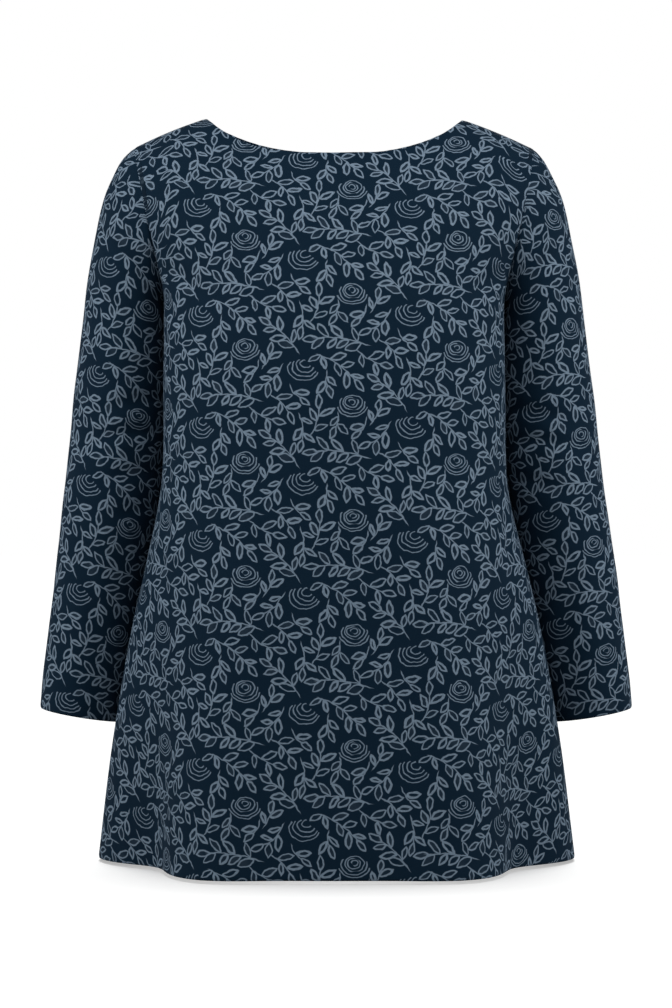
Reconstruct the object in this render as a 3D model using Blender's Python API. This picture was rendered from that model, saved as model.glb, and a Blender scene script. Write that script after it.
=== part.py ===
"""Long-sleeved A-line tunic top, hollow, in the shape it takes when it is worn.

The cloth is the four pieces that a maker cuts: front, back and two sleeves. Each is a thin wall, lofted
through level sections of the body or through rings of the sleeve. The origin is midway between the two
neck points of the shoulder seams, where a wearer's shoulders hold the garment. +Z is up, the front faces
-Y, and +X is the wearer's left. All sizes are in metres.
"""

from collections import namedtuple

import bpy
import numpy as np

WALL = 0.002
SEAM_GAP = 0.0003
MOST_SEAM_SLANT = 0.5

NECK_X = 0.134
FRONT_NECK_DROP = 0.042
BACK_NECK_DROP = 0.027
FRONT_NECK_POWER = 3.5
BACK_NECK_POWER = 2.6

SHOULDER_X = 0.209
SHOULDER_Z = -0.031
UNDERARM_X = 0.1785
UNDERARM_Z = -0.180
ARMHOLE_SWELL = 0.060
ARMHOLE_POWER = 1.6
CHEST_POWER = 2.6

HEM_Z = -0.774
FLARE_Z = -0.387

NECK_COLUMNS = 9
SHOULDER_COLUMNS = 5
SIDE_COLUMNS = NECK_COLUMNS + SHOULDER_COLUMNS
ARMHOLE_ROWS = 10
SKIRT_ROWS = 16
SLEEVE_RINGS = 16
CAP_CROWDING = 1.35
FINE_STEPS = 240

SLEEVE_CLEARANCE = 0.0025
CLEARANCE_RAMP = 0.06
ARMHOLE_FADE = 0.30

FRONT, BACK = -1, 1

FRONT_NAVY = (0.026, 0.047, 0.072)
BACK_NAVY = (0.022, 0.040, 0.062)
SLEEVE_NAVY = (0.030, 0.052, 0.078)
CLOTH_ROUGHNESS = 0.85
SHARP_DEGREES = 40

# Level sections of the body. half_width follows the armhole seam above the underarm and the side seam
# below it. side_y is where the side seam lies, and depths are measured from it. squareness is the exponent
# of the section's rounding: 2 is an ellipse, and more is flatter across the front.
Level = namedtuple("Level", "z half_width side_y front_depth back_depth squareness")
LEVELS = (
    Level(0.000, 0.2160, 0.000, 0.0670, 0.0680, 2.60),
    Level(-0.065, 0.2024, -0.002, 0.0830, 0.0850, 2.60),
    Level(-0.120, 0.1910, -0.005, 0.0955, 0.0975, 2.60),
    Level(UNDERARM_Z, UNDERARM_X, -0.008, 0.1070, 0.1065, 2.60),
    Level(-0.197, 0.1768, -0.009, 0.1098, 0.1087, 2.60),
    Level(-0.260, 0.1780, -0.011, 0.1175, 0.1140, 2.60),
    Level(FLARE_Z, 0.1805, -0.013, 0.1260, 0.1175, 2.60),
    Level(-0.462, 0.1975, -0.012, 0.1320, 0.1220, 2.45),
    Level(-0.522, 0.2125, -0.010, 0.1380, 0.1265, 2.32),
    Level(-0.583, 0.2255, -0.007, 0.1450, 0.1315, 2.20),
    Level(-0.665, 0.2405, -0.004, 0.1550, 0.1370, 2.10),
    Level(HEM_Z, 0.2565, 0.000, 0.1680, 0.1440, 2.00),
)

# Folds of the skirt. bearing is the angle round the body from the centre front, positive to +X, with its
# spread to each side, in degrees. height is how far the cloth stands out (or in, if negative) at the hem.
Fold = namedtuple("Fold", "bearing spread height top growth")
FOLDS = (
    Fold(0, 17, -0.003, -0.300, 1.0),
    Fold(38, 10, 0.016, -0.340, 1.1),
    Fold(-39, 10, 0.017, -0.330, 1.1),
    Fold(69, 10, -0.036, FLARE_Z, 1.3),
    Fold(-70, 10, -0.038, FLARE_Z, 1.3),
    Fold(112, 10, -0.024, -0.400, 1.2),
    Fold(-111, 10, -0.022, -0.420, 1.2),
    Fold(138, 11, 0.013, -0.380, 1.1),
    Fold(-140, 12, 0.014, -0.360, 1.1),
    Fold(166, 10, -0.009, -0.450, 1.0),
    Fold(-168, 11, -0.010, -0.420, 1.0),
)

# Rings of a sleeve, by the share of its length. Each ring hangs between an outer and an inner edge point.
Ring = namedtuple("Ring", "along outer_x outer_z inner_x inner_z centre_y half_depth")
RINGS = (
    Ring(0.00, SHOULDER_X, SHOULDER_Z, UNDERARM_X, UNDERARM_Z, -0.004, 0.0510),
    Ring(0.03, 0.2210, -0.0430, 0.1800, -0.1840, -0.002, 0.0525),
    Ring(0.06, 0.2310, -0.0600, 0.1805, -0.1885, 0.002, 0.0540),
    Ring(0.10, 0.2405, -0.0800, 0.1800, -0.1950, 0.007, 0.0555),
    Ring(0.17, 0.2505, -0.1200, 0.1780, -0.2080, 0.015, 0.0575),
    Ring(0.25, 0.2600, -0.1700, 0.1750, -0.2310, 0.021, 0.0585),
    Ring(0.37, 0.2700, -0.2450, 0.1740, -0.2800, 0.026, 0.0580),
    Ring(0.50, 0.2790, -0.3250, 0.1760, -0.3450, 0.029, 0.0565),
    Ring(0.64, 0.2895, -0.4100, 0.1865, -0.4230, 0.030, 0.0540),
    Ring(0.80, 0.3025, -0.5100, 0.2060, -0.5230, 0.034, 0.0505),
    Ring(1.00, 0.3153, -0.6190, 0.2260, -0.6340, 0.037, 0.0460),
)

# The cap of the right sleeve stands out a little more than that of the left one.
CAP_LEAN = 0.0015
CAP_LEAN_START = 0.04
CAP_LEAN_END = 0.60

# The shoulders hang a little towards the wearer's right, which is also the higher side, and the skirt
# hangs straight.
SWAY = -0.0018
TILT = -0.0008
SWAY_TOP_Z = -0.350
SWAY_END_Z = -0.500


def column(rows, name):
    """One named column of a table, as an array."""
    return np.array([getattr(row, name) for row in rows])


def smooth_column(rows, key, name, at):
    """A column of a table read at any place: cubic pieces through its rows, with no overshoot."""
    places, values = column(rows, key), column(rows, name)
    order = np.argsort(places)
    places, values = places[order], values[order]
    steps = np.diff(values) / np.diff(places)
    slopes = np.concatenate([steps[:1], (steps[1:] + steps[:-1]) / 2, steps[-1:]])
    turns = np.concatenate([[False], steps[1:] * steps[:-1] <= 0, [False]])
    slopes[turns] = 0
    at = np.clip(at, places[0], places[-1])
    left = np.clip(np.searchsorted(places, at, side="right") - 1, 0, len(places) - 2)
    width = places[left + 1] - places[left]
    t = (at - places[left]) / width
    rise = values[left + 1] - values[left]
    start, end = slopes[left] * width, slopes[left + 1] * width
    return values[left] + t * (start + t * (3 * rise - 2 * start - end + t * (start + end - 2 * rise)))


def level(name, z):
    return smooth_column(LEVELS, "z", name, z)


def fold_height(bearing, z):
    """How far the folds move the cloth outwards at a bearing in degrees, at height z."""
    total = np.zeros_like(bearing)
    for fold in FOLDS:
        grown = np.clip((fold.top - z) / (fold.top - HEM_Z), 0, 1) ** fold.growth
        away = (bearing - fold.bearing + 180) % 360 - 180
        total += fold.height * grown * np.exp(-((away / fold.spread) ** 2) / 2)
    return total


def skirt_section(bearing, z):
    """Points of the level section at height z, below the underarm, at bearings in degrees."""
    angle = np.radians(bearing)
    across, forward = np.sin(angle), np.cos(angle)
    power = level("squareness", z)
    depth = np.where(forward > 0, level("front_depth", z), level("back_depth", z))
    reach = (np.abs(across) / level("half_width", z)) ** power + (np.abs(forward) / depth) ** power
    radius = reach ** (-1 / power) + fold_height(bearing, z)
    return np.stack([radius * across, level("side_y", z) - radius * forward, np.full_like(across, z)], -1)


def shoulder_ridge(x):
    """Height of the shoulder line at x. It passes through the neck point and the shoulder point."""
    return SHOULDER_Z * (x**2 - NECK_X**2) / (SHOULDER_X**2 - NECK_X**2)


def chest_y(x, z, facing):
    """y of the cloth above the underarm. It rounds over the shoulder line and in towards the armhole."""
    share = np.clip((z - UNDERARM_Z) / (SHOULDER_Z - UNDERARM_Z), 0, 1)
    half_width = level("half_width", z) + ARMHOLE_SWELL * share**ARMHOLE_POWER
    ridge = shoulder_ridge(x)
    down = np.clip((ridge - z) / (ridge - UNDERARM_Z), 0, 1)
    fall = np.sqrt(1 - (1 - down) ** CHEST_POWER)
    depth = level("front_depth" if facing == FRONT else "back_depth", z)
    power = level("squareness", z)
    inward = np.clip(1 - np.minimum(x / half_width, 1) ** power, 0, 1) ** (1 / power)
    return level("side_y", z) + facing * depth * fall * inward


def top_height(x, facing):
    """Height of a panel's upper edge: the neckline out to the neck point, then the shoulder seam."""
    drop, power = {
        FRONT: (FRONT_NECK_DROP, FRONT_NECK_POWER),
        BACK: (BACK_NECK_DROP, BACK_NECK_POWER),
    }[facing]
    neckline = -drop * (1 - np.minimum(x / NECK_X, 1) ** power)
    return np.where(x < NECK_X, neckline, shoulder_ridge(x))


def chest_row(down, facing):
    """A fine half row between the upper edge (down = 0) and the underarm (down = 1), centre to armhole."""
    share = np.union1d(np.sin(np.linspace(0, np.pi / 2, FINE_STEPS)), NECK_X / SHOULDER_X)
    top = top_height(share * SHOULDER_X, facing)
    z = top + (UNDERARM_Z - top) * down
    x = share * (SHOULDER_X + (UNDERARM_X - SHOULDER_X) * down)
    return np.stack([x, chest_y(x, z, facing), z], -1)


def lengths_along(points):
    """Length of a line of points, from its start to each point."""
    return np.concatenate([[0], np.cumsum(np.linalg.norm(np.diff(points, axis=0), axis=1))])


def spaced(points, shares):
    """Points at given shares of the length of a fine line."""
    lengths = lengths_along(points)
    return np.stack([np.interp(shares * lengths[-1], lengths, points[:, k]) for k in range(3)], -1)


def top_shares(facing):
    """Shares of the upper edge's length at which its columns stand, with one at the neck point."""
    edge = chest_row(0, facing)
    neck_share = np.interp(NECK_X, edge[:, 0], lengths_along(edge)) / lengths_along(edge)[-1]
    neck = np.linspace(0, neck_share, NECK_COLUMNS + 1)
    x = np.linspace(NECK_X, SHOULDER_X, SHOULDER_COLUMNS + 1)[1:]
    shoulder = np.interp(x, edge[:, 0], lengths_along(edge)) / lengths_along(edge)[-1]
    return np.concatenate([neck, shoulder])


def half_rows(facing, side):
    """Rows of half a panel from its top to its hem, each from the centre line out to one side (+1 is +X)."""
    even = np.linspace(0, 1, SIDE_COLUMNS + 1)
    at_top = top_shares(facing)
    rows = []
    for k in range(ARMHOLE_ROWS):
        down = (1 - np.cos(np.pi * k / ARMHOLE_ROWS)) / 2
        rows.append(spaced(chest_row(down, facing), at_top + (even - at_top) * down))
        rows[-1][:, 0] *= side
    start = 0 if facing == FRONT else 180
    bearings = side * np.linspace(start, 90, FINE_STEPS)
    for z in np.linspace(UNDERARM_Z, HEM_Z, SKIRT_ROWS + 1):
        rows.append(spaced(skirt_section(bearings, z), even))
    for k in range(SHOULDER_COLUMNS + 1):
        rows[0][SIDE_COLUMNS - k, 1] = level("side_y", rows[0][SIDE_COLUMNS - k, 2])
    return np.array(rows)


def panel(facing):
    """The whole grid of a panel, its columns in the order that turns its faces outwards."""
    right, left = half_rows(facing, 1), half_rows(facing, -1)
    if facing == FRONT:
        return np.concatenate([left[:, :0:-1], right], axis=1)
    return np.concatenate([right[:, :0:-1], left], axis=1)


def side_x(y, z):
    """Half width of the body at a depth y and a height z below the underarm, on the +X side."""
    section = skirt_section(np.linspace(1, 179, FINE_STEPS), z)
    return np.interp(y, section[:, 1], section[:, 0])


def sleeve(side, front, back):
    """Rings of one sleeve. The first is the armhole that the front and back panels leave between them."""
    front_edge = front[: ARMHOLE_ROWS + 1, -1 if side > 0 else 0]
    back_edge = back[: ARMHOLE_ROWS + 1, 0 if side > 0 else -1]
    halves = (back_edge, front_edge) if side > 0 else (front_edge, back_edge)
    armhole = np.concatenate([halves[0], halves[1][-2:0:-1]])
    turn = 2 * np.pi * np.arange(len(armhole)) / len(armhole)
    rings = [armhole]
    for along in np.linspace(0, 1, SLEEVE_RINGS + 1)[1:] ** CAP_CROWDING:
        ring = Ring(along, *(smooth_column(RINGS, "along", name, along) for name in Ring._fields[1:]))
        lean = CAP_LEAN * min(along / CAP_LEAN_START, 1) * max(1 - along / CAP_LEAN_END, 0)
        share = (1 + np.cos(turn)) / 2
        x = ring.inner_x + (ring.outer_x - side * lean - ring.inner_x) * share
        z = ring.inner_z + (ring.outer_z - ring.inner_z) * share
        y = ring.centre_y + side * ring.half_depth * np.sin(turn)
        even_y = RINGS[0].centre_y + side * RINGS[0].half_depth * np.sin(turn)
        y += (armhole[:, 1] - even_y) * np.clip(1 - along / ARMHOLE_FADE, 0, 1) ** 2
        clearance = SLEEVE_CLEARANCE * min(along / CLEARANCE_RAMP, 1)
        for k in np.flatnonzero(z < UNDERARM_Z):
            x[k] = max(x[k], side_x(y[k], z[k]) + clearance)
        rings.append(np.stack([side * x, y, z], -1))
    return np.array(rings)


def swayed(grid):
    """The grid with its sideways hang, which fades out below the waist."""
    hang = np.clip((grid[..., 2] - SWAY_END_Z) / (SWAY_TOP_Z - SWAY_END_Z), 0, 1)
    hang = hang**2 * (3 - 2 * hang)
    moved = grid.copy()
    moved[..., 2] += TILT * hang * np.sin(grid[..., 0] / SHOULDER_X * np.pi / 2)
    moved[..., 0] += SWAY * hang
    return moved


def corner_faces(rows, columns, around):
    """Grid places of the four corners of each face. A tube's last column joins its first."""
    count = columns if around else columns - 1
    return [
        ((i, j), (i + 1, j), (i + 1, (j + 1) % columns), (i, (j + 1) % columns))
        for i in range(rows - 1)
        for j in range(count)
    ]


def face_normal(corners):
    return np.cross(corners[1] - corners[3], corners[2] - corners[0])


def place(point):
    return tuple(np.round(point, 6))


def add_normals(totals, grid, around):
    """Adds each face's normal to its corners' totals, by place, so that pieces share them at seams."""
    for corners in corner_faces(len(grid), len(grid[0]), around):
        points = [grid[at] for at in corners]
        for point in points:
            normal = face_normal(points)
            totals.setdefault(place(point), []).append(normal / max(np.linalg.norm(normal), 1e-12))


def inward_offsets(totals, grid):
    """Offset from the outer face to the inner one, even in thickness where faces meet at an angle."""
    offsets = np.zeros_like(grid)
    for at in np.ndindex(grid.shape[:2]):
        normals = np.array(totals[place(grid[at])])
        mean = normals.mean(axis=0)
        mean /= np.linalg.norm(mean)
        slant = max((normals @ mean).min(), MOST_SEAM_SLANT)
        offsets[at] = -mean * WALL / slant
    return offsets


def boundary(rows, columns, around):
    """Loops of grid places round the open edges, with the piece on the left hand seen from outside."""
    if around:
        top = [(0, j) for j in reversed(range(columns))]
        bottom = [(rows - 1, j) for j in range(columns)]
        return [top, bottom]
    loop = [(i, 0) for i in range(rows)] + [(rows - 1, j) for j in range(1, columns)]
    loop += [(i, columns - 1) for i in reversed(range(rows - 1))]
    loop += [(0, j) for j in reversed(range(1, columns - 1))]
    return [loop]


def seam_shifts(grid, offsets, around, is_seam):
    """Moves of the edge points that leave half of the seam gap beside each sewn edge."""
    shifts = np.zeros_like(grid)
    for loop in boundary(len(grid), len(grid[0]), around):
        inward = []
        for here, after in zip(loop, loop[1:] + loop[:1]):
            edge = grid[after] - grid[here]
            into = np.cross(edge, offsets[here] + offsets[after])
            inward.append(into / np.linalg.norm(into) * is_seam(here, after))
        for k, here in enumerate(loop):
            before, after = inward[k - 1], inward[k]
            sewn = max(1, 1 + before @ after)
            shifts[here] = (before + after) / sewn * SEAM_GAP / 2
    return shifts


def rim_faces(here, after, here_first, flat):
    """Two triangles across the wall's edge. Pieces that meet there split it along the same diagonal."""
    if here_first:
        return [
            [flat(after, 0), flat(here, 0), flat(after, 1)],
            [flat(here, 0), flat(here, 1), flat(after, 1)],
        ]
    return [
        [flat(after, 0), flat(here, 0), flat(here, 1)],
        [flat(after, 0), flat(here, 1), flat(after, 1)],
    ]


def wall_object(name, grid, offsets, shifts, around, collection, material):
    """A closed wall between the outer grid and the inner one, as one object."""
    rows, columns = grid.shape[:2]
    outer = (grid + shifts).reshape(-1, 3)
    inner = (grid + shifts + offsets).reshape(-1, 3)

    def flat(at, layer):
        return layer * rows * columns + at[0] * columns + at[1]

    faces = []
    for corners in corner_faces(rows, columns, around):
        faces.append([flat(at, 0) for at in corners])
        faces.append([flat(at, 1) for at in reversed(corners)])
    for loop in boundary(rows, columns, around):
        for here, after in zip(loop, loop[1:] + loop[:1]):
            faces += rim_faces(here, after, place(grid[here]) < place(grid[after]), flat)
    mesh = bpy.data.meshes.new(name)
    mesh.from_pydata(np.concatenate([outer, inner]).tolist(), [], faces)
    mesh.validate()
    mesh.shade_smooth()
    mesh.set_sharp_from_angle(angle=np.radians(SHARP_DEGREES))
    mesh.materials.append(material)
    made = bpy.data.objects.new(name, mesh)
    collection.objects.link(made)
    return made


def panel_seam(columns):
    """Tells whether an edge of a panel is sewn. The neckline and the hem are not."""

    def is_seam(here, after):
        last_row = ARMHOLE_ROWS + SKIRT_ROWS
        if here[0] == after[0] == last_row:
            return 0.0
        middle = columns // 2
        if here[0] == after[0] == 0:
            return float(min(abs(here[1] - middle), abs(after[1] - middle)) >= NECK_COLUMNS)
        return 1.0

    return is_seam


def sleeve_seam(here, after):
    """A sleeve is sewn at its armhole ring, and its cuff is open."""
    return float(here[0] == after[0] == 0)


def cloth(name, colour):
    """Printed woven cloth: matt, and its own tone for each piece."""
    material = bpy.data.materials.new(name)
    material.use_nodes = True
    shader = material.node_tree.nodes["Principled BSDF"]
    shader.inputs["Base Color"].default_value = (*colour, 1)
    shader.inputs["Roughness"].default_value = CLOTH_ROUGHNESS
    shader.inputs["Metallic"].default_value = 0.0
    material.diffuse_color = (*colour, 1)
    return material


def clear_scene():
    for old in list(bpy.data.objects):
        bpy.data.objects.remove(old, do_unlink=True)


def main():
    clear_scene()
    collection = bpy.data.collections.new("tunic_top")
    bpy.context.scene.collection.children.link(collection)
    front, back = panel(FRONT), panel(BACK)
    left, right = sleeve(1, front, back), sleeve(-1, front, back)
    is_panel_seam = panel_seam(front.shape[1])
    pieces = (
        ("front", swayed(front), False, is_panel_seam, FRONT_NAVY),
        ("back", swayed(back), False, is_panel_seam, BACK_NAVY),
        ("sleeve_left", swayed(left), True, sleeve_seam, SLEEVE_NAVY),
        ("sleeve_right", swayed(right), True, sleeve_seam, SLEEVE_NAVY),
    )
    totals = {}
    for _, grid, around, _, _ in pieces:
        add_normals(totals, grid, around)
    for name, grid, around, is_seam, colour in pieces:
        offsets = inward_offsets(totals, grid)
        shifts = seam_shifts(grid, offsets, around, is_seam)
        wall_object(name, grid, offsets, shifts, around, collection, cloth(f"{name}_cloth", colour))


main()
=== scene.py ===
"""Long-sleeved A-line tunic top in printed crepe, filled out as when worn, with nobody in it.

The cloth is the four pieces that a maker cuts: front, back and two sleeves. Each is a fine mesh in the form
of its solid, with its creases, sewn seams and turned edges, and takes its thickness from a modifier. The
print is a half-drop repeat of roses and leafy sprigs, drawn by the shader on the flat cut of each piece.
The origin is midway between the two neck points. +Z is up, the front faces -Y and +X is the wearer's left.
All sizes are in metres, and the print's are in millimetres.
"""

import logging
import math
from collections.abc import Sequence
from dataclasses import dataclass
from enum import Enum
from typing import Any

import bmesh
import bpy
import numpy as np
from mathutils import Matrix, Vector


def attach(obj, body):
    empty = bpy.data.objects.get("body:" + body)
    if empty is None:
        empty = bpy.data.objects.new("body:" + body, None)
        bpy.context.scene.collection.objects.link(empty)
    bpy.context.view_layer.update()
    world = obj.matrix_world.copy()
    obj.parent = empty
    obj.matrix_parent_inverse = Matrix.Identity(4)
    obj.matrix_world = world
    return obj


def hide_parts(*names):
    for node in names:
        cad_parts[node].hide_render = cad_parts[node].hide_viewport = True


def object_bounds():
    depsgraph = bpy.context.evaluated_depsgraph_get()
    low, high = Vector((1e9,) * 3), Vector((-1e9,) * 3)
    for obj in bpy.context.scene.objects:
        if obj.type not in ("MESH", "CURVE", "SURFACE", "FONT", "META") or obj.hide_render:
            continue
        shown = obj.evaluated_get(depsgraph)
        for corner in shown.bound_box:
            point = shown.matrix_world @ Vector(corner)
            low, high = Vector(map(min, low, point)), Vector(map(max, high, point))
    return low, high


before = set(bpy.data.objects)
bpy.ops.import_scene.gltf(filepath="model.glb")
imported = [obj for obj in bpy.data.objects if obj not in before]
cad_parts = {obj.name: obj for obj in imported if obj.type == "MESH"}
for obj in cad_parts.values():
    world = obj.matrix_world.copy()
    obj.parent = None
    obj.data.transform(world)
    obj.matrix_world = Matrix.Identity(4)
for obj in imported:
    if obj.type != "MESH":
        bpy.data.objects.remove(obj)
CAD_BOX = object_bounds()

LOG = logging.getLogger("tunic_top")
MM = 0.001
CUT_MAP = "Cut"
TURNED_GROUP = "turned_edge"
SAME_PLACE = 1e-6


Point = tuple[float, float, float]


class Facing(Enum):
    """Which panel of the body, as the sign of the way that it faces along Y."""

    FRONT = -1
    BACK = 1


class Side(Enum):
    """Which sleeve, as the sign of its side along X. +X is the wearer's left."""

    LEFT = 1
    RIGHT = -1


@dataclass(frozen=True)
class Level:
    """A level section of the body. Depths are measured from side_y, where the side seam lies."""

    z: float
    half_width: float
    side_y: float
    front_depth: float
    back_depth: float
    squareness: float


@dataclass(frozen=True)
class Fold:
    """A fold of the skirt. bearing and spread are degrees round the body, height is that at the hem."""

    bearing: float
    spread: float
    height: float
    top: float
    growth: float


@dataclass(frozen=True)
class Ring:
    """A ring of a sleeve, by the share of its length, between an outer and an inner edge point."""

    along: float
    outer_x: float
    outer_z: float
    inner_x: float
    inner_z: float
    centre_y: float
    half_depth: float


@dataclass(frozen=True)
class Crease:
    """A soft trough (depth below 0) or ridge of the cloth, placed on the flat cut of its piece.

    It runs from (u0, v0) to (u1, v1), bowed to the left by bow. On a sleeve u counts towards the front.
    """

    u0: float
    v0: float
    u1: float
    v1: float
    bow: float
    half_width: float
    depth: float


UNDERARM_X, UNDERARM_Z = 0.1785, -0.180
SHOULDER_X, SHOULDER_Z = 0.209, -0.031
HEM_Z, FLARE_Z = -0.774, -0.387

LEVELS = (
    Level(0.000, 0.2160, 0.000, 0.0670, 0.0680, 2.60),
    Level(-0.065, 0.2024, -0.002, 0.0830, 0.0850, 2.60),
    Level(-0.120, 0.1910, -0.005, 0.0955, 0.0975, 2.60),
    Level(UNDERARM_Z, UNDERARM_X, -0.008, 0.1070, 0.1065, 2.60),
    Level(-0.197, 0.1768, -0.009, 0.1098, 0.1087, 2.60),
    Level(-0.260, 0.1780, -0.011, 0.1175, 0.1140, 2.60),
    Level(FLARE_Z, 0.1805, -0.013, 0.1260, 0.1175, 2.60),
    Level(-0.462, 0.1975, -0.012, 0.1320, 0.1220, 2.45),
    Level(-0.522, 0.2125, -0.010, 0.1380, 0.1265, 2.32),
    Level(-0.583, 0.2255, -0.007, 0.1450, 0.1315, 2.20),
    Level(-0.665, 0.2405, -0.004, 0.1550, 0.1370, 2.10),
    Level(HEM_Z, 0.2565, 0.000, 0.1680, 0.1440, 2.00),
)

FOLDS = (
    Fold(0, 17, -0.003, -0.300, 1.0),
    Fold(38, 10, 0.016, -0.340, 1.1),
    Fold(-39, 10, 0.017, -0.330, 1.1),
    Fold(69, 10, -0.036, FLARE_Z, 1.3),
    Fold(-70, 10, -0.038, FLARE_Z, 1.3),
    Fold(112, 10, -0.024, -0.400, 1.2),
    Fold(-111, 10, -0.022, -0.420, 1.2),
    Fold(138, 11, 0.013, -0.380, 1.1),
    Fold(-140, 12, 0.014, -0.360, 1.1),
    Fold(166, 10, -0.009, -0.450, 1.0),
    Fold(-168, 11, -0.010, -0.420, 1.0),
)

RINGS = (
    Ring(0.00, SHOULDER_X, SHOULDER_Z, UNDERARM_X, UNDERARM_Z, -0.004, 0.0510),
    Ring(0.03, 0.2210, -0.0430, 0.1800, -0.1840, -0.002, 0.0525),
    Ring(0.06, 0.2310, -0.0600, 0.1805, -0.1885, 0.002, 0.0540),
    Ring(0.10, 0.2405, -0.0800, 0.1800, -0.1950, 0.007, 0.0555),
    Ring(0.17, 0.2505, -0.1200, 0.1780, -0.2080, 0.015, 0.0575),
    Ring(0.25, 0.2600, -0.1700, 0.1750, -0.2310, 0.021, 0.0585),
    Ring(0.37, 0.2700, -0.2450, 0.1740, -0.2800, 0.026, 0.0580),
    Ring(0.50, 0.2790, -0.3250, 0.1760, -0.3450, 0.029, 0.0565),
    Ring(0.64, 0.2895, -0.4100, 0.1865, -0.4230, 0.030, 0.0540),
    Ring(0.80, 0.3025, -0.5100, 0.2060, -0.5230, 0.034, 0.0505),
    Ring(1.00, 0.3153, -0.6190, 0.2260, -0.6340, 0.037, 0.0460),
)

# Places are metres on the flat cut: across from the centre line, and up from the level of the underarm.
FRONT_CREASES = (
    Crease(-0.205, 0.030, -0.118, -0.030, 0.006, 0.011, -0.0024),
    Crease(-0.212, -0.012, -0.140, -0.072, 0.005, 0.010, -0.0018),
    Crease(0.205, 0.026, 0.128, -0.024, -0.005, 0.011, -0.0020),
    Crease(0.214, -0.020, 0.150, -0.080, -0.004, 0.010, -0.0015),
    Crease(-0.060, -0.250, -0.082, -0.590, 0.004, 0.024, -0.0020),
    Crease(0.070, -0.300, 0.094, -0.594, -0.005, 0.026, -0.0022),
    Crease(0.012, -0.160, 0.006, -0.520, 0.003, 0.030, -0.0016),
    Crease(-0.196, -0.150, -0.205, -0.330, 0.004, 0.014, -0.0018),
    Crease(0.198, -0.170, 0.210, -0.350, -0.004, 0.014, -0.0018),
    Crease(-0.110, 0.110, -0.170, 0.060, -0.004, 0.014, -0.0014),
    Crease(0.118, 0.108, 0.172, 0.050, 0.004, 0.014, -0.0014),
)
BACK_CREASES = (
    Crease(-0.200, 0.040, -0.120, 0.000, 0.006, 0.012, -0.0026),
    Crease(-0.205, 0.000, -0.130, -0.060, 0.006, 0.011, -0.0020),
    Crease(0.202, 0.034, 0.112, -0.008, -0.006, 0.012, -0.0024),
    Crease(0.208, -0.012, 0.140, -0.066, -0.005, 0.010, -0.0018),
    Crease(-0.030, -0.120, -0.044, -0.500, 0.005, 0.022, -0.0044),
    Crease(0.052, -0.150, 0.066, -0.560, -0.005, 0.024, -0.0040),
    Crease(-0.120, -0.200, -0.150, -0.590, 0.005, 0.020, -0.0036),
    Crease(0.130, -0.220, 0.150, -0.590, -0.004, 0.020, -0.0034),
    Crease(-0.060, 0.120, 0.050, 0.116, -0.005, 0.013, -0.0012),
)
LEFT_CREASES = (
    Crease(0.030, 0.030, 0.120, -0.040, 0.008, 0.011, -0.0022),
    Crease(0.020, -0.010, 0.110, -0.090, 0.007, 0.012, -0.0020),
    Crease(0.150, -0.130, 0.055, -0.168, -0.006, 0.009, -0.0026),
    Crease(0.152, -0.168, 0.040, -0.196, -0.007, 0.009, -0.0030),
    Crease(0.148, -0.205, 0.066, -0.238, -0.005, 0.009, -0.0024),
    Crease(0.060, -0.270, 0.098, -0.400, 0.005, 0.013, -0.0018),
    Crease(-0.150, -0.140, -0.060, -0.178, 0.006, 0.010, -0.0026),
    Crease(-0.150, -0.186, -0.048, -0.210, 0.006, 0.009, -0.0028),
    Crease(-0.040, 0.020, -0.120, -0.050, -0.007, 0.012, -0.0022),
    Crease(-0.070, -0.280, -0.100, -0.400, -0.004, 0.013, -0.0018),
)
RIGHT_CREASES = (
    Crease(0.034, 0.036, 0.124, -0.034, 0.008, 0.011, -0.0022),
    Crease(0.018, -0.004, 0.104, -0.080, 0.007, 0.012, -0.0022),
    Crease(0.152, -0.122, 0.060, -0.156, -0.006, 0.010, -0.0026),
    Crease(0.150, -0.160, 0.044, -0.190, -0.007, 0.009, -0.0032),
    Crease(0.150, -0.198, 0.070, -0.226, -0.005, 0.009, -0.0022),
    Crease(0.146, -0.236, 0.080, -0.262, -0.004, 0.009, -0.0018),
    Crease(0.052, -0.286, 0.090, -0.410, 0.005, 0.014, -0.0018),
    Crease(-0.148, -0.134, -0.058, -0.168, 0.006, 0.010, -0.0026),
    Crease(-0.150, -0.176, -0.044, -0.204, 0.006, 0.009, -0.0028),
    Crease(-0.036, 0.024, -0.118, -0.044, -0.007, 0.012, -0.0022),
)


def smooth_column(rows: Sequence[Any], key: str, name: str, at: Any) -> np.ndarray:
    """Reads a column of a table at any place: cubic pieces through its rows, with no overshoot.

    Args:
        rows: The table.
        key: Name of the column that says where each row is.
        name: Name of the column to read.
        at: Places to read it at.

    Returns:
        The column's values there.
    """
    places = np.array([getattr(row, key) for row in rows])
    values = np.array([getattr(row, name) for row in rows])
    order = np.argsort(places)
    places, values = places[order], values[order]
    steps = np.diff(values) / np.diff(places)
    slopes = np.concatenate([steps[:1], (steps[1:] + steps[:-1]) / 2, steps[-1:]])
    turns = np.concatenate([[False], steps[1:] * steps[:-1] <= 0, [False]])
    slopes[turns] = 0
    at = np.clip(at, places[0], places[-1])
    left = np.clip(np.searchsorted(places, at, side="right") - 1, 0, len(places) - 2)
    width = places[left + 1] - places[left]
    t = (at - places[left]) / width
    rise = values[left + 1] - values[left]
    start, end = slopes[left] * width, slopes[left + 1] * width
    return values[left] + t * (start + t * (3 * rise - 2 * start - end + t * (start + end - 2 * rise)))


def level(name: str, z: Any) -> np.ndarray:
    """A size of the body's level section at height z."""
    return smooth_column(LEVELS, "z", name, z)


def lengths_along(points: np.ndarray) -> np.ndarray:
    """Length of a line of points, from its start to each point."""
    return np.concatenate([[0], np.cumsum(np.linalg.norm(np.diff(points, axis=0), axis=1))])


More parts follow.
